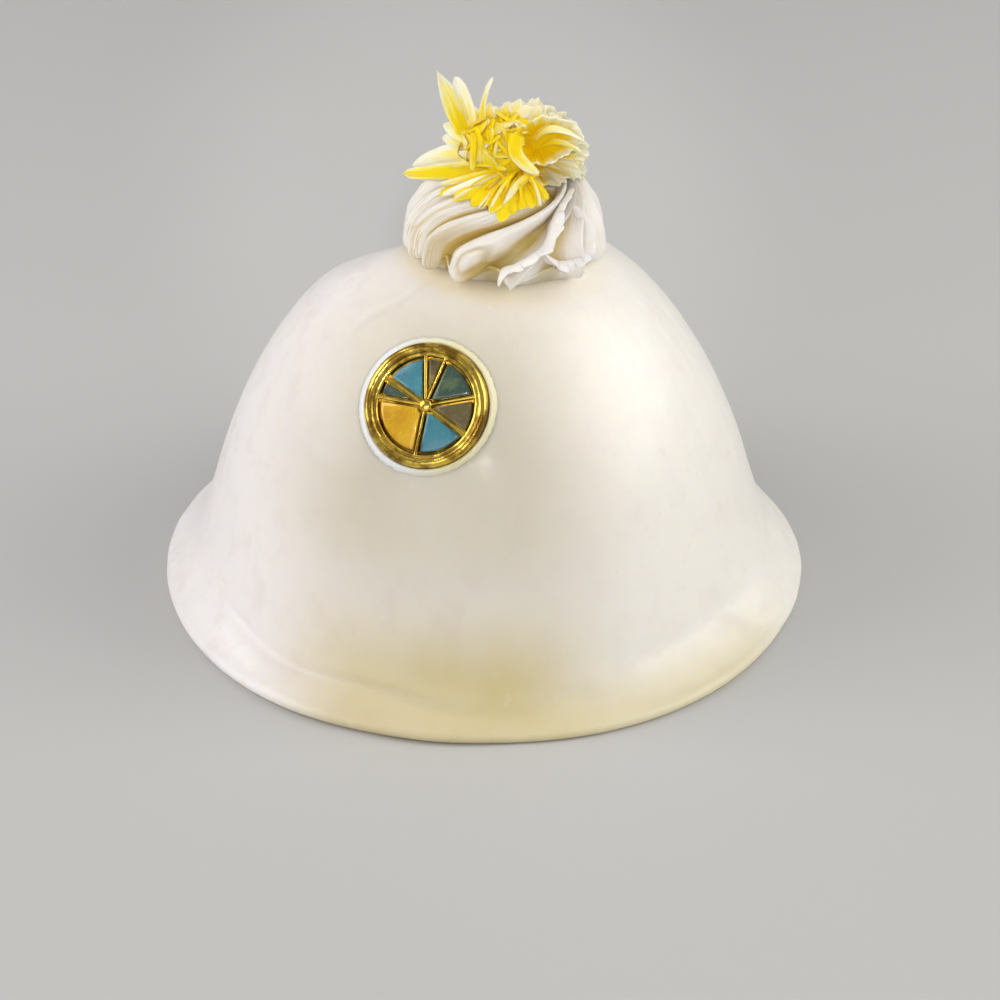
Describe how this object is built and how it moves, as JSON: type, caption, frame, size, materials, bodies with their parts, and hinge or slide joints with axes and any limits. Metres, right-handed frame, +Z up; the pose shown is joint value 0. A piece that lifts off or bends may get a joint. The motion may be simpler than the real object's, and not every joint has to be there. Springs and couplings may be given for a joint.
{
  "type": "delizia al limone",
  "caption": "Dome-shaped lemon cream cake with a spread glaze foot, a piped cream rosette, a tuft of lemon zest and a round gilt badge of coloured panes.",
  "frame": {"origin": "middle of the flat underside", "axes": "+Z up through the dome, -Y towards the badge on the front"},
  "size_m": [0.0906, 0.0894, 0.0755],
  "materials": {
    "lemon_glaze": "satin cream glaze",
    "whipped_cream": "soft whipped cream",
    "lemon_zest": "moist citrus peel",
    "gilt": "polished gilt",
    "teal_pane": "glossy enamel",
    "green_pane": "glossy enamel",
    "amber_pane": "glossy enamel",
    "gold_pane": "gold leaf"
  },
  "bodies": {
    "root": {"cake_dome": "lemon_glaze", "cream_rosette": "whipped_cream", "zest_tuft": "lemon_zest", "badge_setting": "gilt", "pane_amber_top": "amber_pane", "pane_green_top": "green_pane", "pane_amber_side": "amber_pane", "pane_teal_low": "teal_pane", "pane_gold": "gold_pane", "pane_green_side": "green_pane", "pane_teal_top": "teal_pane"}
  },
  "joints": []
}
